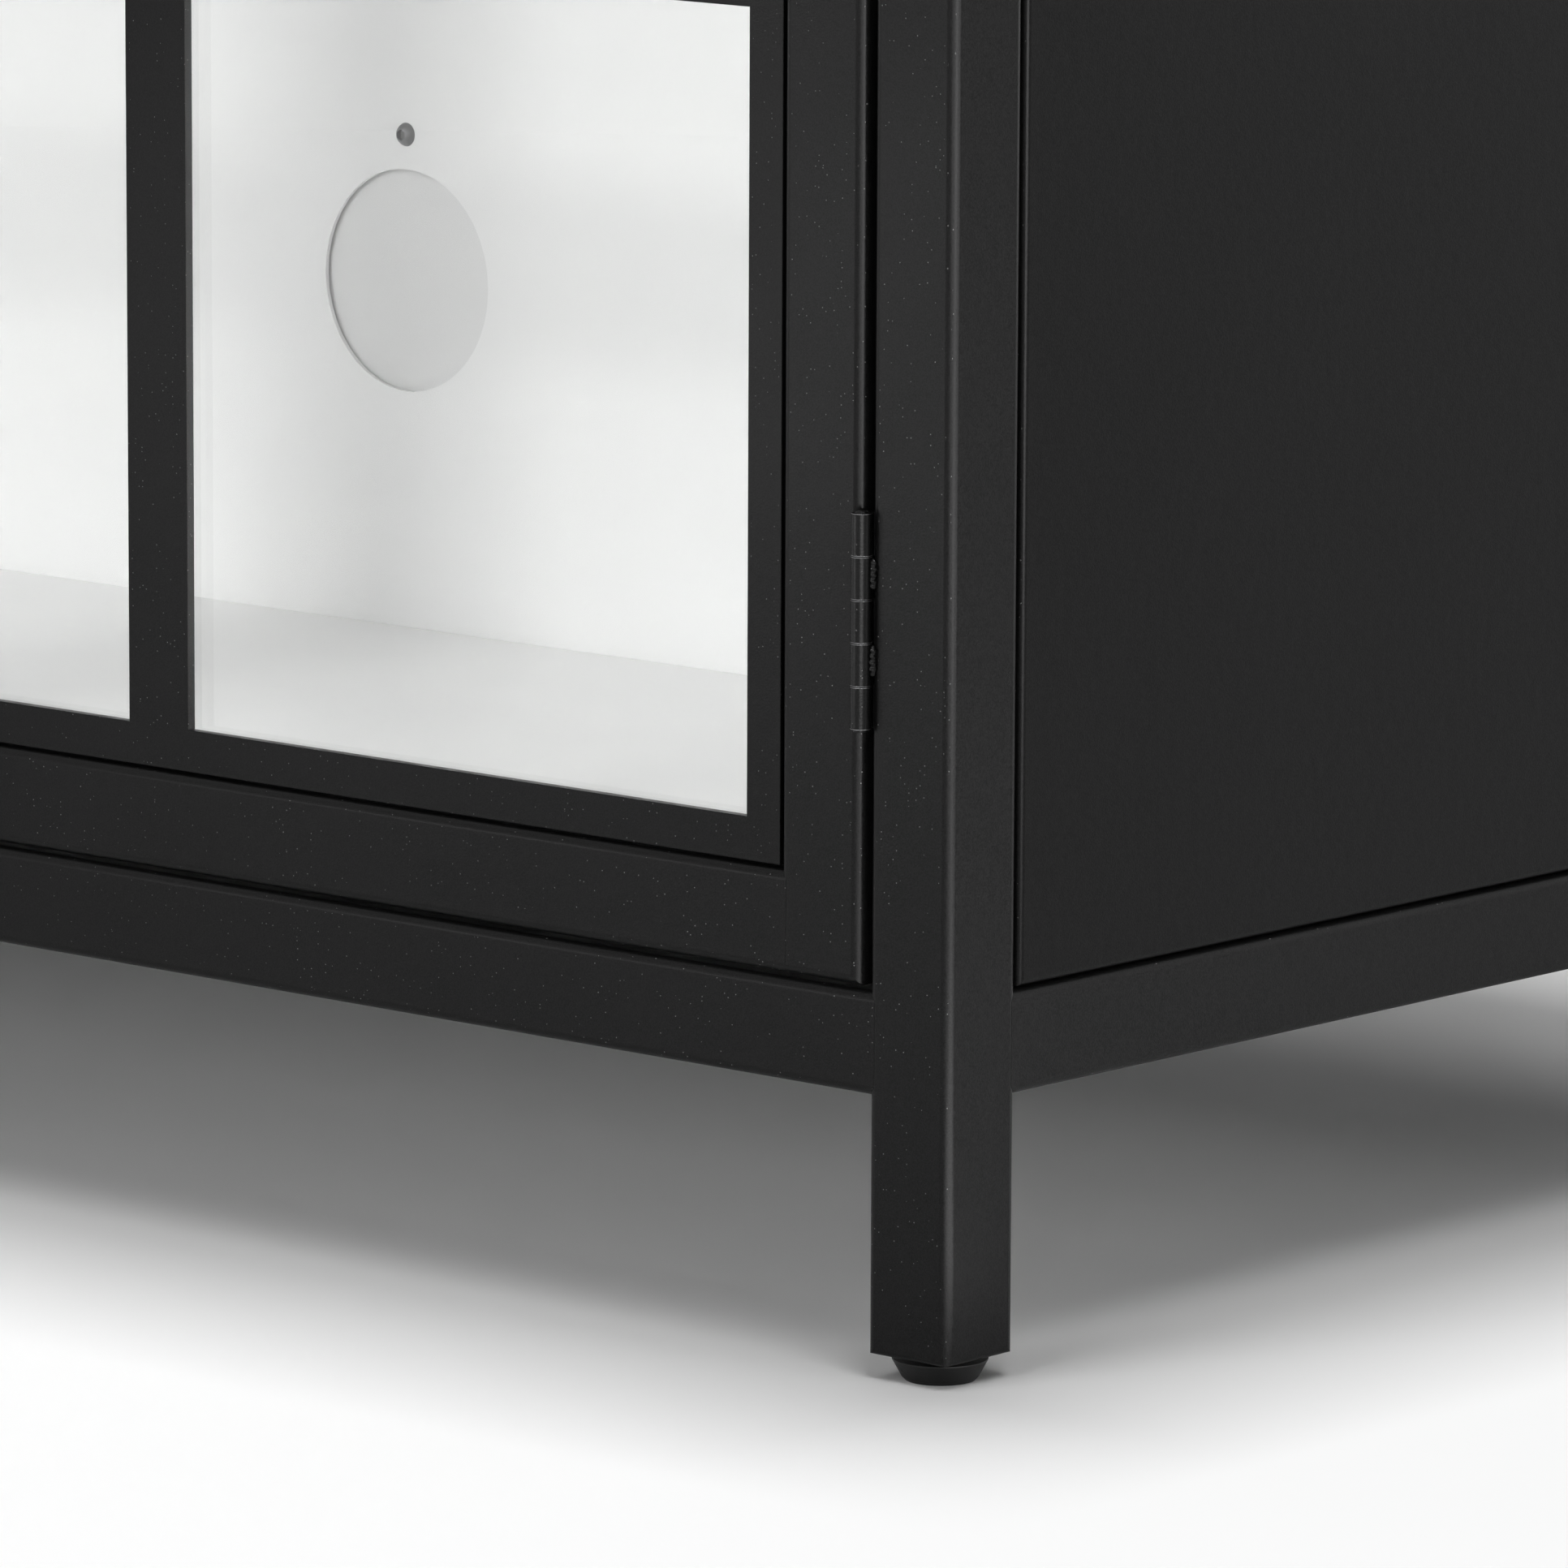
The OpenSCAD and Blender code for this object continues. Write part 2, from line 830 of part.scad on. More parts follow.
module cable_cover() {
    color(white)
        translate([0, front_y + cover_y, hole_z])
            difference() {
                along_y(cover_t) {
                    circle(cover_r);
                    translate([-tab_r, 0]) square([2 * tab_r, pivot_rise]);
                    translate([0, pivot_rise]) circle(tab_r);
                }
                translate([0, -past, pivot_rise])
                    bore_y(pivot_d + 2 * pivot_clear, cover_t + 2 * past);
            }
}

module cover_pivot_screw() {
    color(plastic)
        translate([0, front_y + back_y, pivot_z]) {
            rotate([90, 0, 0]) dome(pivot_head_d, pivot_head_h);
            bore_y(pivot_d, nut_y + nut_h - back_y);
        }
}

module cover_spacer() {
    color(zinc)
        translate([0, front_y + spacer_y, pivot_z])
            difference() {
                bore_y(spacer_d, spacer_t);
                translate([0, -past, 0])
                    bore_y(pivot_d + 2 * pivot_clear, spacer_t + 2 * past);
            }
}

module cover_lock_nut() {
    color(zinc)
        translate([0, front_y + nut_y, pivot_z])
            difference() {
                rotate([-90, 0, 0]) cylinder(r = hex_r, h = nut_h, $fn = 6);
                translate([0, -past, 0])
                    bore_y(pivot_d + 2 * pivot_clear, nut_h + 2 * past);
            }
}

post(-1, -1);  // post_front_left
post(1, -1);  // post_front_right
post(-1, 1);  // post_rear_left
post(1, 1);  // post_rear_right
color(black) cross_rail(-1, rail_z);  // bottom_rail_front
color(black) cross_rail(1, rail_z);  // bottom_rail_rear
side_rail(-1, rail_z);  // bottom_rail_left
side_rail(1, rail_z);  // bottom_rail_right
color(black) cross_rail(-1, ceiling_z);  // top_rail_front
top_rail_rear();
side_rail(-1, ceiling_z);  // top_rail_left
side_rail(1, ceiling_z);  // top_rail_right
side_panel(-1);  // side_panel_left
side_panel(1);  // side_panel_right
top_panel();
floor_panel();
ceiling_panel();
back_panel();
side_skin(-1);  // side_skin_left
side_skin(1);  // side_skin_right
shelf(1);  // shelf_lower
shelf(2);  // shelf_middle
shelf(3);  // shelf_upper
shelf_pins();
leg_inserts();
hinge_frame_leaves();
hinge_pins();
catch_housing();
catch_magnets();
wall_anchors();
cover_pivot_screw();
cover_spacer();
cover_lock_nut();
cable_cover();
door_hinge_stile(-1);  // door_left_hinge_stile
door_meeting_stile(-1);  // door_left_meeting_stile
door_rail(-1, door_h - tube);  // door_left_top_rail
door_rail(-1, 0);  // door_left_bottom_rail
door_grille(-1);  // door_left_grille
door_glass(-1);  // door_left_glass
door_glazing_stops(-1);  // door_left_glazing_stops
door_hinge_leaves(-1);  // door_left_hinge_leaves
door_pull(-1);  // door_left_pull
door_strike(-1);  // door_left_strike
door_hinge_stile(1);  // door_right_hinge_stile
door_meeting_stile(1);  // door_right_meeting_stile
door_rail(1, door_h - tube);  // door_right_top_rail
door_rail(1, 0);  // door_right_bottom_rail
door_grille(1);  // door_right_grille
door_glass(1);  // door_right_glass
door_glazing_stops(1);  // door_right_glazing_stops
door_hinge_leaves(1);  // door_right_hinge_leaves
door_pull(1);  // door_right_pull
door_strike(1);  // door_right_strike
foot(-1, -1);  // foot_front_left
foot(1, -1);  // foot_front_right
foot(-1, 1);  // foot_rear_left
foot(1, 1);  // foot_rear_right
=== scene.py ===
# %% [markdown]
# # A tall display cabinet
#
# The cabinet is a welded frame of square steel tube under a black powder coat, with two glazed
# doors and a white enamelled inside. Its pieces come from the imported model, already at their real
# size and place. This lesson sets the camera, the light and the finishes, and adds what a drawing
# of the construction leaves out: weld beads, the lips of the hinge knuckles and the small screws.
#
# Everything is in metres. +X is right, +Y is back and +Z is up, with the origin on the floor.

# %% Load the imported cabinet
import json
import math

import bmesh
import bpy
import numpy as np
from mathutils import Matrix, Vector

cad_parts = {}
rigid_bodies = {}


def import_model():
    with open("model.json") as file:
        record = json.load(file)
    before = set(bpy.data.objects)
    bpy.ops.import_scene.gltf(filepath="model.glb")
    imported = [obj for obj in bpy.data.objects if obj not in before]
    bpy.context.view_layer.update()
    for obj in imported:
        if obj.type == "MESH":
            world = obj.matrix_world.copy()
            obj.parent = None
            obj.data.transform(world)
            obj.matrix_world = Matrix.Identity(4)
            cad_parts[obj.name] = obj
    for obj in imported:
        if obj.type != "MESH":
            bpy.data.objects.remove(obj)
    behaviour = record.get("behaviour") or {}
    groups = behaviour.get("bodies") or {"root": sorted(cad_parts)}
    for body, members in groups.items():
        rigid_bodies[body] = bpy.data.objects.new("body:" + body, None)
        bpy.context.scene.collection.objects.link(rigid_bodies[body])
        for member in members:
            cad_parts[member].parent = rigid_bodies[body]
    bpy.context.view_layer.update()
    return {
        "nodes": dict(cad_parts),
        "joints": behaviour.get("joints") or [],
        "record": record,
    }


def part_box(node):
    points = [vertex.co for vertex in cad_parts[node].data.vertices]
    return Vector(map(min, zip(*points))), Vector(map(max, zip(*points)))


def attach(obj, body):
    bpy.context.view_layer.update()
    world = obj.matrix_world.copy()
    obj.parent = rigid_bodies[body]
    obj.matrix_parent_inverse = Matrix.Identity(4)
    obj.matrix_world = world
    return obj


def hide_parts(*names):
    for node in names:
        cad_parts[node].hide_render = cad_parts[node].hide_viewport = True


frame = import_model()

# %% [markdown]
# ## Places taken from the frame
#
# A piece that sits on the cabinet should move when the cabinet's sizes change, so places are read
# from the boxes of the CAD nodes and from the joints, and not typed in again.

# %% Boxes and joints
MM = 0.001
SIDES = {"left": -1, "right": 1}


def box(node):
    """Lowest and highest corner of a CAD node, as two arrays."""
    low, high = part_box(node)
    return np.array(low), np.array(high)


joints = {joint["name"]: joint for joint in frame["joints"]}
post_low, post_high = box("post_front_right")
rail_low = box("bottom_rail_front")[0]
# The sharp corner that the front and right faces would have, level with the rail's underside
corner = np.array([post_high[0], post_low[1], rail_low[2]])
print("lower right corner of the frame:", corner.round(4))

# %% [markdown]
# ## Camera
#
# The photograph is a close view of the lower right corner, taken with a long lens from the front
# right and a little above. Its direction was found from the edges of the frame: yaw turns the view
# to the left of straight ahead, pitch turns it down, and roll turns the picture in its own plane.

# %% Camera at the photograph's angle
IMAGE_PX = 1932
FOCAL_PX = 13184.4
SENSOR = 36.0
YAW, PITCH, ROLL = 0.7218, 0.1674, -0.0043
EYE_FROM_CORNER = np.array([1.5997, -1.8760, 0.4940])


def camera_axes(yaw, pitch, roll):
    """Right, up and back directions of a camera: its forward direction is turned by yaw and pitch,
    and the other two are turned about it by roll."""
    forward = np.array([-math.sin(yaw) * math.cos(pitch), math.cos(yaw) * math.cos(pitch),
                        -math.sin(pitch)])
    level = np.cross(forward, [0.0, 0.0, 1.0])
    level /= np.linalg.norm(level)
    down = np.cross(forward, level)
    right = math.cos(roll) * level + math.sin(roll) * down
    up = math.sin(roll) * level - math.cos(roll) * down
    return right, up, -forward


lens = bpy.data.cameras.new("photo_camera")
lens.sensor_width = SENSOR
lens.lens = FOCAL_PX / IMAGE_PX * SENSOR
camera = bpy.data.objects.new("photo_camera", lens)
bpy.context.scene.collection.objects.link(camera)
turned = np.eye(4)
turned[:3, :3] = np.array(camera_axes(YAW, PITCH, ROLL)).T
turned[:3, 3] = corner + EYE_FROM_CORNER
camera.matrix_world = turned.T
bpy.context.scene.camera = camera
print("lens", round(lens.lens, 2), "mm, camera at", turned[:3, 3].round(3))

# %% [markdown]
# ## Shader maths as Python
#
# A material is a tree of nodes. Wiring it by hand hides the formula, so one small class stands for
# a node's output and lets maths be written as maths: `1 - mask` adds a Math node. Any other node
# comes from one method, which sets the node's own settings first and then its sockets.

# %% Values and node trees


class Value:
    """One output of a shader node. Maths on it adds Math nodes to the same tree."""

    def __init__(self, tree, socket):
        self.tree = tree
        self.socket = socket

    def math(self, operation, first, second):
        """A Math node on two values, of which either may be a plain number."""
        return self.tree.node("ShaderNodeMath", {"operation": operation}, {0: first, 1: second})

    def __add__(self, other):
        return self.math("ADD", self, other)

    def __radd__(self, other):
        return self.math("ADD", other, self)

    def __sub__(self, other):
        return self.math("SUBTRACT", self, other)

    def __rsub__(self, other):
        return self.math("SUBTRACT", other, self)

    def __mul__(self, other):
        return self.math("MULTIPLY", self, other)

    def __rmul__(self, other):
        return self.math("MULTIPLY", other, self)

    def __gt__(self, other):
        return self.math("GREATER_THAN", self, other)

    def __lt__(self, other):
        return self.math("LESS_THAN", self, other)

    def output(self, name):
        """Another output of the same node."""
        return Value(self.tree, self.socket.node.outputs[name])


class Tree:
    """The node tree of a material or of the world."""

    def __init__(self, owner):
        owner.use_nodes = True
        self.owner = owner
        self.nodes = owner.node_tree.nodes
        self.links = owner.node_tree.links
        self.nodes.clear()

    def node(self, kind, settings=None, values=None, output=0):
        """Any node: its settings are set first, then its sockets get values or links."""
        node = self.nodes.new(kind)
        for name, setting in (settings or {}).items():
            setattr(node, name, setting)
        for name, value in (values or {}).items():
            if isinstance(value, Value):
                self.links.new(value.socket, node.inputs[name])
            else:
                node.inputs[name].default_value = value
        return Value(self, node.outputs[output])

    def place(self):
        """Object coordinates, which are the cabinet's own metres on every piece."""
        return self.node("ShaderNodeTexCoord", output="Object")

    def noise(self, lump, detail=2.0):
        """Soft noise from 0 to 1, with lumps of about this size."""
        return self.node("ShaderNodeTexNoise", values={
            "Vector": self.place(), "Scale": 1 / lump, "Detail": detail})

    def mix(self, factor, first, second):
        """A colour between two colours."""
        return self.node("ShaderNodeMix", {"data_type": "RGBA"},
                         {0: factor, 6: first, 7: second}, output=2)

    def finish(self, shader, output="ShaderNodeOutputMaterial"):
        """Connects the shader to the tree's output, and returns the tree's owner."""
        end = self.nodes.new(output)
        self.links.new(shader.socket, end.inputs["Surface"])
        return self.owner


def material_tree(name):
    """The empty tree of a new material."""
    return Tree(bpy.data.materials.new(name))


def grey(level):
    """An opaque grey, from 0 for black to 1 for white."""
    return (level, level, level, 1.0)


print("shader maths ready")

# %% [markdown]
# ## Floor
#
# The photograph shows the cabinet on white, with a broad soft shadow under it. The shadow could be
# painted on the floor, but then it would stay put when the doors swing. A plain white floor under
# soft lamps gives both: it renders white where the lamps reach it, and grey where the cabinet stands
# between.

# %% Floor
FLOOR_REACH = 14.0
FLOOR_CELLS = 8
PAPER_REACH = 1.3
POLE_MERGE = 0.001 * MM


def floor_mesh():
    """A level square grid through the origin."""
    steps = np.linspace(-FLOOR_REACH, FLOOR_REACH, FLOOR_CELLS + 1)
    x, y = np.meshgrid(steps, steps, indexing="ij")
    return np.stack([x, y, np.zeros_like(x)], axis=-1)


def grid_mesh(name, patches, around=(False, False)):
    """One mesh of many grids. patches has the shape (copies, rows, columns, 3), and around says
    whether the last row and the last column join the first. Doubled points at poles are merged,
    and normals are turned outwards."""
    copies, rows, columns = patches.shape[:3]
    index = np.arange(copies * rows * columns).reshape(copies, rows, columns)
    if around[0]:
        index = np.concatenate([index, index[:, :1]], axis=1)
    if around[1]:
        index = np.concatenate([index, index[:, :, :1]], axis=2)
    quads = np.stack([index[:, :-1, :-1], index[:, :-1, 1:], index[:, 1:, 1:], index[:, 1:, :-1]],
                     axis=-1).reshape(-1, 4)
    mesh = bpy.data.meshes.new(name)
    mesh.from_pydata(patches.reshape(-1, 3).tolist(), [], quads.tolist())
    shape = bmesh.new()
    shape.from_mesh(mesh)
    bmesh.ops.remove_doubles(shape, verts=shape.verts, dist=POLE_MERGE)
    bmesh.ops.recalc_face_normals(shape, faces=shape.faces)
    shape.to_mesh(mesh)
    shape.free()
    mesh.shade_smooth()
    return mesh


def show(name, mesh, material):
    """An object at the origin for a mesh that holds its own place."""
    mesh.materials.append(material)
    shown = bpy.data.objects.new(name, mesh)
    bpy.context.scene.collection.objects.link(shown)
    return shown


def seen_directly(tree):
    """1 where the camera, a reflection or glass looks, and 0 for light that has left a matt surface,
    so that the inside is as bright with its doors open as behind the glass."""
    path = tree.node("ShaderNodeLightPath", output="Is Camera Ray")
    looks = path + path.output("Is Glossy Ray") + path.output("Is Transmission Ray") > 0.5
    return looks * (path.output("Diffuse Depth") < 0.5)


def white_floor():
    """Matt white paper round the cabinet, which fades into plain white further out."""
    tree = material_tree("floor_white")
    paper = tree.node("ShaderNodeBsdfPrincipled", values={
        "Base Color": grey(0.93), "Roughness": 0.9, "Specular IOR Level": 0.0})
    white = tree.node("ShaderNodeEmission", values={"Color": grey(1.0), "Strength": 1.0})
    from_middle = tree.node("ShaderNodeVectorMath", {"operation": "LENGTH"}, {0: tree.place()},
                            output="Value")
    fade = tree.node("ShaderNodeMapRange", {"interpolation_type": "SMOOTHSTEP"}, {
        "Value": from_middle, "From Min": PAPER_REACH, "From Max": 2 * PAPER_REACH})
    return tree.finish(tree.node("ShaderNodeMixShader", values={
        0: fade * seen_directly(tree), 1: paper, 2: white}))


floor = show("floor", grid_mesh("floor", floor_mesh()[None]), white_floor())
# A flat sheet has no outside, so its faces may have been turned down
if floor.data.polygons[0].normal.z < 0:
    floor.data.flip_normals()
print("floor", 2 * FLOOR_REACH, "m wide")

# %% [markdown]
# ## World and lamps
#
# The world is a faint even light, and white where it is seen. The shadow lies right under the
# cabinet, so its lamp is small, strong and high above the corner. Broad lamps to the right and behind
# lift the rest. Lamps that light only some of the pieces come later, when those pieces are made.

# %% World and lamps
AMBIENT = 0.02
# A lamp that leans less than this, as a sine, counts as facing straight down
LEAST_LEAN = 0.01


def studio_world():
    """Even grey light, white where the camera, a reflection or glass looks at it."""
    tree = Tree(bpy.data.worlds.new("studio"))
    light = tree.node("ShaderNodeBackground", values={
        "Color": tree.mix(seen_directly(tree), grey(AMBIENT), grey(1.0)), "Strength": 1.0})
    return tree.finish(light, "ShaderNodeOutputWorld")


def softbox(name, centre, target, width, height, radiance):
    """A soft lamp that faces a target. Its power is pi times its area times its radiance, so a
    radiance of 1 is as bright as white paper. Its image stays out of the glass, and its light goes
    through the glass, because surfaces look for the lamp and no ray has to find it by chance."""
    lamp = bpy.data.lights.new(name, "AREA")
    lamp.shape = "RECTANGLE"
    lamp.size = width
    lamp.size_y = height
    lamp.energy = math.pi * width * height * radiance
    lamp.cycles.use_multiple_importance_sampling = False
    shown = bpy.data.objects.new(name, lamp)
    bpy.context.scene.collection.objects.link(shown)
    back = np.array(centre) - np.array(target)
    back /= np.linalg.norm(back)
    across = np.cross([0.0, 0.0, 1.0], back)
    if np.linalg.norm(across) < LEAST_LEAN:
        across = np.array([1.0, 0.0, 0.0])
    across /= np.linalg.norm(across)
    matrix = np.eye(4)
    matrix[:3, :3] = np.array([across, np.cross(back, across), back]).T
    matrix[:3, 3] = centre
    shown.matrix_world = matrix.T
    shown.visible_camera = False
    return shown


bpy.context.scene.world = studio_world()
bpy.context.scene.view_settings.view_transform = "Standard"
lamps = [
    softbox("overhead_lamp", (0.412, -0.076, 5.0), (0.412, -0.076, 0.0), 0.165, 0.18, 1320.0),
    softbox("right_softbox", (3.2, -0.5, 2.8), (0.5, 0.0, 0.3), 2.2, 2.2, 1.1),
    softbox("right_crest_softbox", (2.4, -1.2, 4.6), (0.5, 0.0, 0.0), 1.6, 1.6, 7.2),
    softbox("back_softbox", (0.3, 1.8, 3.6), (0.3, 0.3, 0.0), 2.4, 2.0, 0.4),
]
print("lamps:", [lamp.name for lamp in lamps])

# %% [markdown]
# ## Black powder coat
#
# The frame, the panels and the doors wear one satin black powder coat. Close up it is not flat: it
# has a fine grain, a slow orange peel that bends the highlights, and pale specks of dust baked into
# it. Tubes have round edges of their own. Edges of sheet and of hinges are never sharp under paint,
# so there a Bevel node rounds them for the light.

# %% Powder coat
GRAIN = 0.4 * MM
GRAIN_CONTRAST = 2.4
PEEL = 4 * MM
CLOUD = 60 * MM
COAT_RELIEF = 0.05 * MM
COAT_SPREAD = 0.1
# A speck is the core of a cell, out to this share of the cell, in a quarter of the cells
SPECK_CELL = 1.2 * MM
SPECK_CORE = 0.12
SPECK_CHOICE = 0.75
SPECK_LEVEL = 0.22


def powder_coat(name, dark, pale, roughness, specular, edge=None):
    """Black coat: its grain mixes a dark and a pale black, and dust specks are the cores of a few
    cells of a Voronoi pattern. Where edge is given, edges are rounded for the light by that much."""
    tree = material_tree(name)
    fine = tree.noise(GRAIN, detail=1.0)
    cloud = tree.noise(CLOUD, detail=3.0)
    peel = tree.noise(PEEL, detail=1.0)
    cells = tree.node("ShaderNodeTexVoronoi", values={
        "Vector": tree.place(), "Scale": 1 / SPECK_CELL})
    chosen = tree.node("ShaderNodeSeparateColor", values={0: cells.output("Color")})
    speck = (cells < SPECK_CORE) * (chosen > SPECK_CHOICE) * chosen * cloud
    # The grain is stretched about its middle, one half
    coat = tree.mix(fine * GRAIN_CONTRAST - (GRAIN_CONTRAST - 1) / 2, grey(dark), grey(pale))
    bump_values = {"Strength": 0.5, "Distance": COAT_RELIEF, "Height": fine + 1.5 * peel}
    if edge:
        bump_values["Normal"] = tree.node("ShaderNodeBevel", {"samples": 4}, {"Radius": edge})
    return tree.finish(tree.node("ShaderNodeBsdfPrincipled", values={
        "Base Color": tree.mix(speck, coat, grey(SPECK_LEVEL)),
        "Roughness": roughness - COAT_SPREAD / 2 + COAT_SPREAD * cloud,
        "Specular IOR Level": specular,
        "Normal": tree.node("ShaderNodeBump", values=bump_values)}))


tube_coat = powder_coat("tube_coat", 0.0005, 0.005, 0.32, 0.10)
sheet_coat = powder_coat("sheet_coat", 0.0005, 0.005, 0.32, 0.10, edge=0.4 * MM)
hinge_coat = powder_coat("hinge_coat", 0.001, 0.004, 0.24, 0.16, edge=0.12 * MM)
print("coats:", tube_coat.name, sheet_coat.name, hinge_coat.name)

# %% [markdown]
# ## White enamel, board and glass
#
# The inside is stoved white enamel, glossy enough for its floor to mirror the back wall. The glass
# bends and mirrors light as glass does, but lets the lamps' light straight through, because a path
# tracer would otherwise leave the inside dark.

# %% White and clear finishes
ENAMEL_CLOUD = 90 * MM
ENAMEL_PEEL = 6 * MM
ENAMEL_TINT = 0.01
ENAMEL_SPREAD = 0.08


def white_enamel(name, level, roughness):
    """White paint with a slow unevenness in its colour and its gloss, and a shallow orange peel."""
    tree = material_tree(name)
    cloud = tree.noise(ENAMEL_CLOUD, detail=2.0)
    peel = tree.noise(ENAMEL_PEEL, detail=1.0)
    warm = (level + ENAMEL_TINT, level + ENAMEL_TINT, level, 1.0)
    colour = tree.mix(cloud, grey(level - ENAMEL_TINT), warm)
    bump = tree.node("ShaderNodeBump", values={
        "Strength": 0.1, "Distance": COAT_RELIEF, "Height": peel})
    return tree.finish(tree.node("ShaderNodeBsdfPrincipled", values={
        "Base Color": colour, "Roughness": roughness - ENAMEL_SPREAD / 2 + ENAMEL_SPREAD * cloud,
        "Specular IOR Level": 0.25, "Normal": bump}))


def float_glass(name):
    """Clear glass for what looks at it, open air for the light of lamps."""
    tree = material_tree(name)
    clear = tree.node("ShaderNodeBsdfPrincipled", values={
        "Base Color": (0.985, 0.99, 0.988, 1.0), "Roughness": 0.0, "IOR": 1.5,
        "Transmission Weight": 1.0})
    open_air = tree.node("ShaderNodeBsdfTransparent", values={"Color": (0.96, 0.965, 0.963, 1.0)})
    path = tree.node("ShaderNodeLightPath", output="Is Shadow Ray")
    return tree.finish(tree.node("ShaderNodeMixShader", values={0: path, 1: clear, 2: open_air}))


enamel = white_enamel("white_enamel", 0.86, 0.24)
board = white_enamel("white_board", 0.82, 0.40)
# The cable cover's white is darker than the wall's: painted shade of its recess behind the hole
cover_white = white_enamel("cover_white", 0.75, 0.35)
glass = float_glass("float_glass")
print("finishes:", enamel.name, board.name, cover_white.name, glass.name)

# %% [markdown]
# ## Plastic and plated metal
#
# Small fittings are moulded in black plastic, whose mould leaves a fine matt grain. Small metal is
# zinc plated, and the plate grows in spangles. Each needs one noise and no more, because the pieces
# are small. Two duller plates serve the cable cover's screw and the lips of the knuckles, where the
# bright steel is a painted highlight on their edges.

# %% Plastic and plated metal
SPANGLE = 1.5 * MM
SPANGLE_SPREAD = 0.15


def moulded_plastic(name):
    """Black plastic with a fine spark-eroded grain."""
    tree = material_tree(name)
    grain = tree.noise(GRAIN, detail=2.0)
    colour = tree.mix(grain, grey(0.001), grey(0.008))
    bump = tree.node("ShaderNodeBump", values={
        "Strength": 0.4, "Distance": COAT_RELIEF, "Height": grain})
    return tree.finish(tree.node("ShaderNodeBsdfPrincipled", values={
        "Base Color": colour, "Roughness": 0.4 + 0.15 * grain, "Specular IOR Level": 0.2,
        "Normal": bump}))


def plated_metal(name, level, roughness):
    """Zinc or nickel plate, with spangles that are a little brighter or rougher."""
    tree = material_tree(name)
    spangle = tree.noise(SPANGLE, detail=3.0)
    colour = tree.mix(spangle, grey(0.8 * level), (level, level, 1.03 * level, 1.0))
    return tree.finish(tree.node("ShaderNodeBsdfPrincipled", values={
        "Base Color": colour, "Metallic": 1.0, "Roughness": roughness + SPANGLE_SPREAD * spangle}))


plastic = moulded_plastic("black_plastic")
zinc = plated_metal("zinc_plate", 0.62, 0.25)
# Bright steel for the knuckle lips: a painted highlight on the edges of the black knuckles
worn_steel = plated_metal("worn_steel", 0.30, 0.30)
dull_zinc = plated_metal("dull_zinc", 0.20, 0.35)
print("finishes:", plastic.name, zinc.name, worn_steel.name, dull_zinc.name)

# %% [markdown]
# ## A finish for every piece
#
# The imported record names a material slot for each piece. Finishes could be set piece by piece, but a
# table from slot to finish dresses them all in one loop. Pieces of black sheet take the coat that
# rounds edges for the light, and the cable cover takes a darker white than the wall: painted shade of
# the recess it sits in behind its hole.

# %% Every CAD node gets the finish of its slot
SHEET_WORDS = ("panel", "grille", "skin")
finish_of_slot = {
    "black_coat": tube_coat, "white_coat": enamel, "white_board": board, "glass": glass,
    "hinge_steel": hinge_coat, "black_plastic": plastic, "zinc": zinc}
for subpart in frame["record"]["subparts"]:
    finish = finish_of_slot[subpart["material_slot"]]
    if finish is tube_coat and any(word in subpart["node"] for word in SHEET_WORDS):
        finish = sheet_coat
    node = frame["nodes"][subpart["node"]]
    node.data.materials.clear()
    node.data.materials.append(finish)
# The cover's darker white paints the shade of its recess
frame["nodes"]["cable_cover"].data.materials[0] = cover_white

# %% [markdown]
# ## Places on the hinges
#
# Each hinge is a rolled barrel of five knuckles, two on the frame and three on the door. The heights
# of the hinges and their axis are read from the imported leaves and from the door's joint, so that what
# is added later sits on them.

# %% Places on the hinges
HINGES = 3
KNUCKLE = 10.3 * MM
KNUCKLE_GAP = 0.25 * MM
KNUCKLES = 5
FRAME_KNUCKLES = (1, 3)
DOOR_KNUCKLES = (0, 2, 4)

leaf_low, leaf_high = box("door_right_hinge_leaves")
half_hinge = (KNUCKLES * KNUCKLE - KNUCKLE_GAP) / 2
hinge_middles = np.linspace(leaf_low[2] + half_hinge, leaf_high[2] - half_hinge, HINGES)
axis_x, axis_y = joints["door_right_swing"]["pos_m"][:2]
barrel_r = axis_y - leaf_low[1]


def knuckle_middles(chosen):
    """Heights of the middles of the chosen knuckles, on every hinge of a door."""
    steps = (np.array(chosen) - (KNUCKLES - 1) / 2) * KNUCKLE
    return (hinge_middles[:, None] + steps).ravel()


print("hinges at", hinge_middles.round(4), "barrel radius", round(barrel_r / MM, 2), "mm")

# %% [markdown]
# ## Weld beads
#
# The frame's knuckles are welded to the post, and a bead fills the valley between barrel and post over
# most of the knuckle. Beads could be sculpted one by one, but one formula makes all of them, each a
# little different: an upright tube whose radius swells with every drop of weld metal.

# %% Weld beads
BEAD_R = 1.0 * MM
BEAD_LENGTH = 7.6 * MM
BEAD_RISE = 1.0 * MM
# Outwards from the hinge's axis, and behind it
BEAD_FROM_AXIS = np.array([2.75 * MM, 1.0 * MM])
BEAD_DROPS = 5
DROP_SWELL, LUMP_SWELL = 0.13, 0.10
BEAD_ROWS, BEAD_COLUMNS = 56, 20
rng = np.random.default_rng(7)


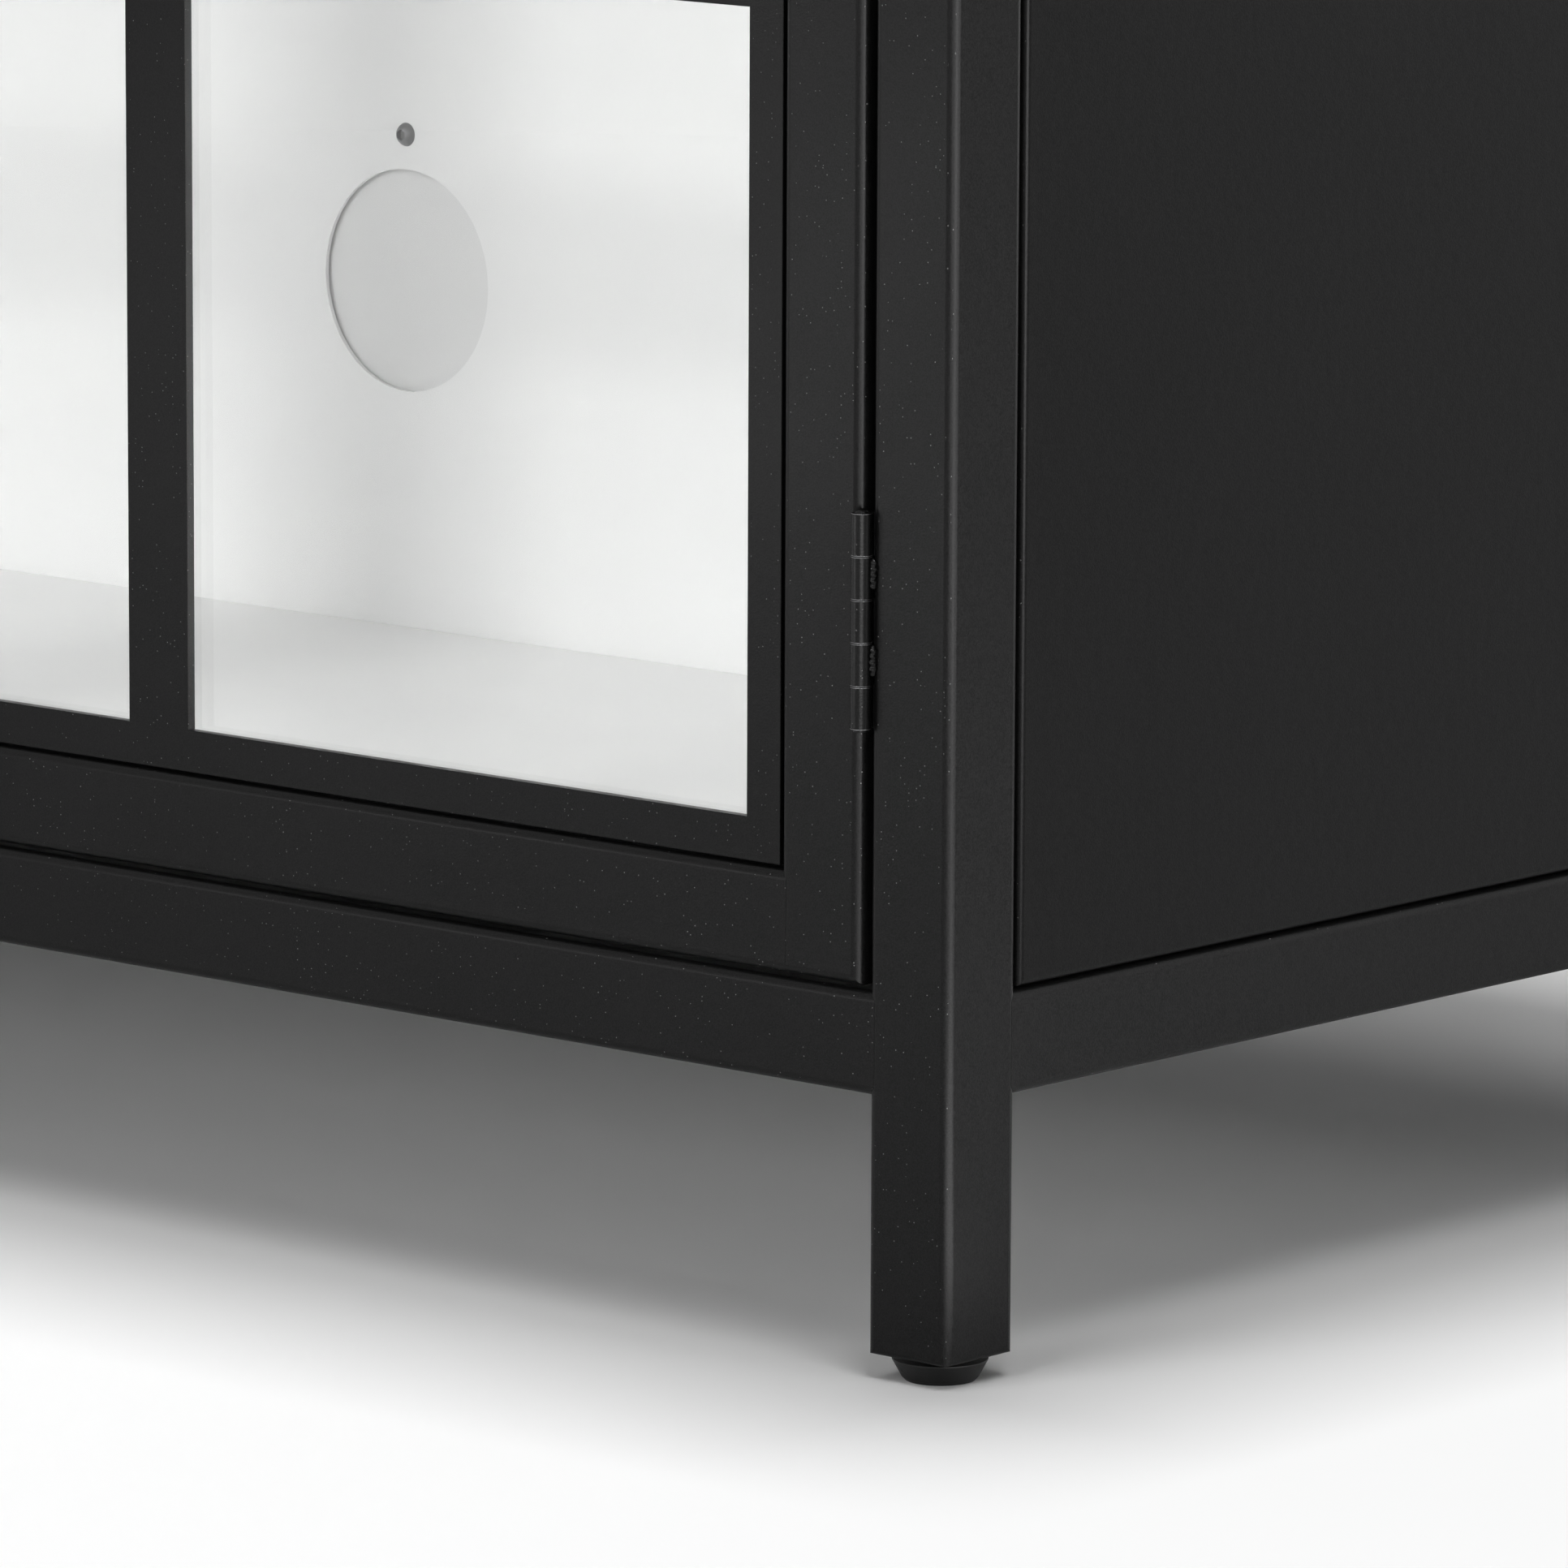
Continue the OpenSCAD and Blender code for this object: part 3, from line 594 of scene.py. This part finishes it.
def weld_beads(centres):
    """Lumpy upright beads. Along a bead, t from 0 to 1, the radius follows a blunt-ended profile,
    the root of 1 - (2t - 1)^4, times a ripple for each drop that leans with the angle, and times
    slower lumps, the product of two sines."""
    t = np.linspace(0, 1, BEAD_ROWS)[None, :, None]
    angle = np.linspace(0, 2 * np.pi, BEAD_COLUMNS, endpoint=False)[None, None, :]
    start = rng.uniform(0, 2 * np.pi, (len(centres), 1, 1))
    drops = np.sin(2 * np.pi * BEAD_DROPS * t + start + 0.8 * np.cos(angle))
    lumps = np.sin(2 * angle + 11 * t + 2 * start) * np.sin(17 * t + start)
    blunt = np.sqrt(1 - (2 * t - 1) ** 4)
    radius = BEAD_R * blunt * (1 + DROP_SWELL * drops + LUMP_SWELL * lumps)
    rise = np.broadcast_to(BEAD_LENGTH * (t - 0.5), radius.shape)
    offset = np.stack([radius * np.cos(angle), radius * np.sin(angle), rise], axis=-1)
    return np.array(centres)[:, None, None, :] + offset


bead_centres = [
    (side * (axis_x + BEAD_FROM_AXIS[0]), axis_y + BEAD_FROM_AXIS[1], height + BEAD_RISE)
    for side in SIDES.values() for height in knuckle_middles(FRAME_KNUCKLES)]
beads = show("hinge_weld_beads",
             grid_mesh("hinge_weld_beads", weld_beads(bead_centres), around=(False, True)), hinge_coat)
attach(beads, "cabinet")
print(len(bead_centres), "weld beads")

# %% [markdown]
# ## Knuckle lips
#
# The cut ends of the knuckles show as thin bright lips. Their round edges catch the light, and a bright
# steel colour paints the rest of that highlight on the black coat. A bevel would change the imported
# mesh, so each lip is a fine ring laid on the barrel's edge.

# %% Knuckle lips
LIP_R = 0.07 * MM
LIP_ROWS, LIP_COLUMNS = 8, 48


def lips(side, chosen):
    """Rings at both ends of the chosen knuckles: a small circle carried round the barrel's edge."""
    middles = knuckle_middles(chosen)
    reach = (KNUCKLE - KNUCKLE_GAP) / 2 - LIP_R
    heights = np.concatenate([middles - reach, middles + reach])[:, None, None]
    turn = np.linspace(0, 2 * np.pi, LIP_COLUMNS, endpoint=False)[None, None, :]
    roll = np.linspace(0, 2 * np.pi, LIP_ROWS, endpoint=False)[None, :, None]
    radius = barrel_r - LIP_R / 2 + LIP_R * np.cos(roll)
    rings = [side * axis_x + radius * np.cos(turn), axis_y + radius * np.sin(turn),
             heights + LIP_R * np.sin(roll)]
    return np.stack(np.broadcast_arrays(*rings), axis=-1)


def add_lips(name, body, rings):
    """Rings as one piece that rides on a body."""
    # The rings' bright steel is a painted highlight on the knuckles' edges
    piece = show(name, grid_mesh(name, rings, around=(True, True)), worn_steel)
    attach(piece, body)
    return piece


both_sides = np.concatenate([lips(side, FRAME_KNUCKLES) for side in SIDES.values()])
add_lips("frame_knuckle_lips", "cabinet", both_sides)
for name, side in SIDES.items():
    add_lips(f"door_{name}_knuckle_lips", f"door_{name}", lips(side, DOOR_KNUCKLES))
print("lips of", 2 * len(FRAME_KNUCKLES + DOOR_KNUCKLES) * len(hinge_middles), "knuckles")

# %% [markdown]
# ## Screws
#
# Button-head screws hold the glazing strips and the catch, and one carries the cable cover. A screw
# is a profile turned about its axis. Only the hexagon socket isn't round: its wall lies further out
# towards the corners, which is one formula for the radius at each angle.

# %% Button-head screws
SCREW_COLUMNS = 36
# The socket's half width and the height of its floor, as shares of the head's radius and height
SOCKET_WIDTH, SOCKET_FLOOR = 0.42, 0.35
# The socket's wall ends as high as the crown is this much further out
SOCKET_RIM = 1.02
CROWN_STEPS = (0.04, 0.3, 0.6, 0.85, 1.0)
SHARP_ANGLE = math.radians(35)
PIVOT_SHANK_R = 2.0 * MM


def button_screws(origins, axes, head_r, head_h, shank_r, shank_length):
    """Screws whose heads stand on an origin, along an axis. The crown is an arc from the rim to the
    socket, and the socket's wall lies at its half width over cos(a), where a is the angle from the
    middle of the nearest flat."""
    angle = np.linspace(0, 2 * np.pi, SCREW_COLUMNS, endpoint=False)
    flat = (angle + np.pi / 6) % (np.pi / 3) - np.pi / 6
    socket = SOCKET_WIDTH * head_r / np.cos(flat)
    ball = (head_r ** 2 + head_h ** 2) / (2 * head_h)

    def crown(radius):
        return np.sqrt(ball ** 2 - radius ** 2) + head_h - ball

    zero = np.zeros_like(angle)
    bottom = zero + SOCKET_FLOOR * head_h
    crown_radii = [socket * (1 - step) + head_r * step for step in CROWN_STEPS]
    rows = [(zero, bottom), (socket, bottom), (socket, crown(socket * SOCKET_RIM))]
    rows += [(radius, crown(radius)) for radius in crown_radii]
    rows += [(zero + shank_r, zero), (zero + shank_r, zero - shank_length),
             (zero, zero - shank_length)]
    radius, rise = (np.array(column) for column in zip(*rows))
    axes = np.array(axes, float)
    across = np.cross(axes, np.roll(axes, 1, axis=1))
    over = np.cross(axes, across)
    return (np.array(origins)[:, None, None, :]
            + (radius * np.cos(angle))[None, :, :, None] * across[:, None, None, :]
            + (radius * np.sin(angle))[None, :, :, None] * over[:, None, None, :]
            + rise[None, :, :, None] * axes[:, None, None, :])


def add_screws(name, body, screws, material):
    """Screws as one piece that rides on a body, with sharp edges left sharp."""
    piece = show(name, grid_mesh(name, screws, around=(False, True)), material)
    piece.data.set_sharp_from_angle(angle=SHARP_ANGLE)
    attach(piece, body)
    return piece


pivot_low, pivot_high = box("cover_pivot_screw")
back_low = box("back_panel")[0]
pivot = [0.0, back_low[1], (pivot_low[2] + pivot_high[2]) / 2]
pivot_screw = add_screws(
    "cable_cover_screw", "cabinet",
    button_screws([pivot], [(0, -1, 0)], (pivot_high[0] - pivot_low[0]) / 2, pivot[1] - pivot_low[1],
                  PIVOT_SHANK_R, pivot_high[1] - pivot[1]),
    dull_zinc)
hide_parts("cover_pivot_screw")
print("cable cover's screw at", np.round(pivot, 4))

# %% [markdown]
# ## Screws of the glazing strips and the catch
#
# Screws hold the four strips behind each pane, evenly spaced between the strips' ends, and two hold
# the catch. Each could be an object of its own, but the screws of one door move together, so they are
# one mesh.

# %% Screws of the glazing strips and the catch
STRIP_T = 1.2 * MM
STRIP_HEAD = dict(head_r=2.4 * MM, head_h=1.3 * MM, shank_r=1.3 * MM, shank_length=6 * MM)
STRIP_END = 70 * MM
# How far back a screw sits, as a share of the strip's depth
STRIP_SCREW_SHARE = 0.6
UPRIGHT_SCREWS, LEVEL_SCREWS = 9, 3


def strip_screws(door):
    """Origins and axes of the screws through the four strips of one door."""
    low, high = box(f"door_{door}_glazing_stops")
    depth = low[1] + STRIP_SCREW_SHARE * (high[1] - low[1])
    upright = np.linspace(low[2] + STRIP_END, high[2] - STRIP_END, UPRIGHT_SCREWS)
    level = np.linspace(low[0] + STRIP_END, high[0] - STRIP_END, LEVEL_SCREWS)
    places = [((low[0] + STRIP_T, depth, z), (1, 0, 0)) for z in upright]
    places += [((high[0] - STRIP_T, depth, z), (-1, 0, 0)) for z in upright]
    places += [((x, depth, low[2] + STRIP_T), (0, 0, 1)) for x in level]
    places += [((x, depth, high[2] - STRIP_T), (0, 0, -1)) for x in level]
    return zip(*places)


for door in SIDES:
    origins, axes = strip_screws(door)
    add_screws(f"door_{door}_strip_screws", f"door_{door}",
               button_screws(origins, axes, **STRIP_HEAD), zinc)

CATCH_SCREW_INSET = 3.5 * MM
catch_low, catch_high = box("catch_housing")
catch_y = (catch_low[1] + catch_high[1]) / 2
catch_places = [(side * (catch_high[0] - CATCH_SCREW_INSET), catch_y, catch_low[2])
                for side in SIDES.values()]
add_screws("catch_screws", "cabinet",
           button_screws(catch_places, [(0, 0, -1)] * len(catch_places), **STRIP_HEAD), zinc)
print(2 * (UPRIGHT_SCREWS + LEVEL_SCREWS), "screws in each door,", len(catch_places), "in the catch")

# %% [markdown]
# ## Lamps with flags
#
# A photographer keeps a lamp's light off some things with a flag, a black card between them. Here
# light linking is the flag: a lamp lights the pieces of one collection and nothing else. So the
# pieces are sorted first, by their finish.

# %% Pieces sorted for the flags


def collect(name, chosen):
    """A collection of the pieces that a test picks out."""
    collection = bpy.data.collections.new(name)
    for piece in bpy.data.objects:
        if piece.type == "MESH" and piece != floor and chosen(piece):
            collection.objects.link(piece)
    return collection


def has_finish(*finishes):
    """A test for pieces that wear one of these finishes."""
    return lambda piece: piece.data.materials[0] in finishes


black_pieces = collect("black_pieces", has_finish(tube_coat, sheet_coat, hinge_coat, plastic))
frame_pieces = collect("frame_pieces", has_finish(tube_coat, plastic))
edge_pieces = collect("edge_pieces", has_finish(tube_coat, sheet_coat, plastic))
round_pieces = collect("round_pieces", has_finish(tube_coat, hinge_coat))
grilles = collect("grilles", lambda piece: "grille" in piece.name)
white_finish = has_finish(enamel, board, cover_white)
white_pieces = collect("white_pieces", white_finish)
all_but_white = collect("all_but_white", lambda piece: not white_finish(piece))
all_but_white.objects.link(floor)
outer_pieces = collect("outer_pieces", lambda piece: piece.name == "back_panel" or
                       has_finish(tube_coat, sheet_coat, hinge_coat, plastic, zinc)(piece))

# %% [markdown]
# ## Light from the front
#
# The white inside has a lamp of its own, small and far away, so that the bars and the middle stiles
# leave soft shadows on the back wall, and a broad fill that keeps those shadows pale. Three other
# broad lamps light all the rest: they set the level of the floor, and the inside is left to its own.

# %% Front lamps
INSIDE = (0.1, 0.0, 0.6)


def linked_lamp(receivers, *lamp, mirrored=True):
    """A soft lamp that lights one collection of pieces and nothing else. Where mirrored is true, rays
    that the pieces mirror find it too. Lamps that the glass would show are left unmirrored."""
    shown = softbox(*lamp)
    shown.light_linking.receiver_collection = receivers
    shown.data.cycles.use_multiple_importance_sampling = mirrored
    return shown


front_lamps = [linked_lamp(receivers, *lamp, mirrored=False) for receivers, *lamp in (
    (white_pieces, "inside_lamp", (0.36, -12.0, 4.95), INSIDE, 2.3, 1.7, 44.0),
    (white_pieces, "inside_fill", (0.2, -6.5, 2.2), INSIDE, 4.8, 3.6, 2.1),
    (all_but_white, "crest_softbox", (0.3, -2.6, 4.6), (0.3, -0.2, 0.0), 2.0, 1.6, 3.0),
    (all_but_white, "high_softbox", (0.2, -6.0, 4.6), INSIDE, 3.6, 3.0, 1.8),
    (all_but_white, "low_softbox", (0.2, -6.5, 1.45), INSIDE, 4.8, 2.6, 2.35),
)]
print("front lamps:", [lamp.name for lamp in front_lamps])

# %% [markdown]
# ## Strips that draw the highlights
#
# Black metal looks like what it mirrors. Bright strips stand close to the cabinet, just where its
# faces and corners mirror them, and one inside lights the cut edges of the bars. Two fill lamps
# light the back and the left side without lifting the shadow on the floor.

# %% Highlight strips and fill lamps
LOWER_POST = (0.495, -0.17, 0.2)

strips = [
    linked_lamp(black_pieces, "front_strip", (-0.26, -1.06, 0.12), (0.50, -0.17, 0.2), 0.5, 0.18, 4.6),
    linked_lamp(round_pieces, "camera_strip", (1.16, -0.91, 0.15), LOWER_POST, 0.6, 0.3, 7.0),
    linked_lamp(edge_pieces, "corner_strip", (1.40, -0.45, 0.20), LOWER_POST, 0.5, 0.4, 13.0),
    linked_lamp(frame_pieces, "side_strip", (1.35, 0.02, 0.20), LOWER_POST, 0.3, 0.4, 8.0),
    linked_lamp(frame_pieces, "floor_strip", (0.74, -0.21, 0.003), (0.74, -0.21, 1.0), 0.34, 0.26, 9.5),
    linked_lamp(grilles, "inside_strip", (0.44, 0.06, 0.20), (0.25, -0.16, 0.25), 0.2, 0.35, 9.0,
                mirrored=False),
]
fills = [
    linked_lamp(outer_pieces, "rear_fill", (0.8, 6.0, 0.9), (0.0, 0.2, 0.9), 3.0, 1.7, 7.0),
    linked_lamp(outer_pieces, "left_fill", (-6.0, 0.6, 0.9), (-0.5, 0.0, 0.9), 3.0, 1.7, 7.0),
]
print("strips and fills:", [lamp.name for lamp in strips + fills])

# %% [markdown]
# ## The end

# %% The end
print("end of the scene")
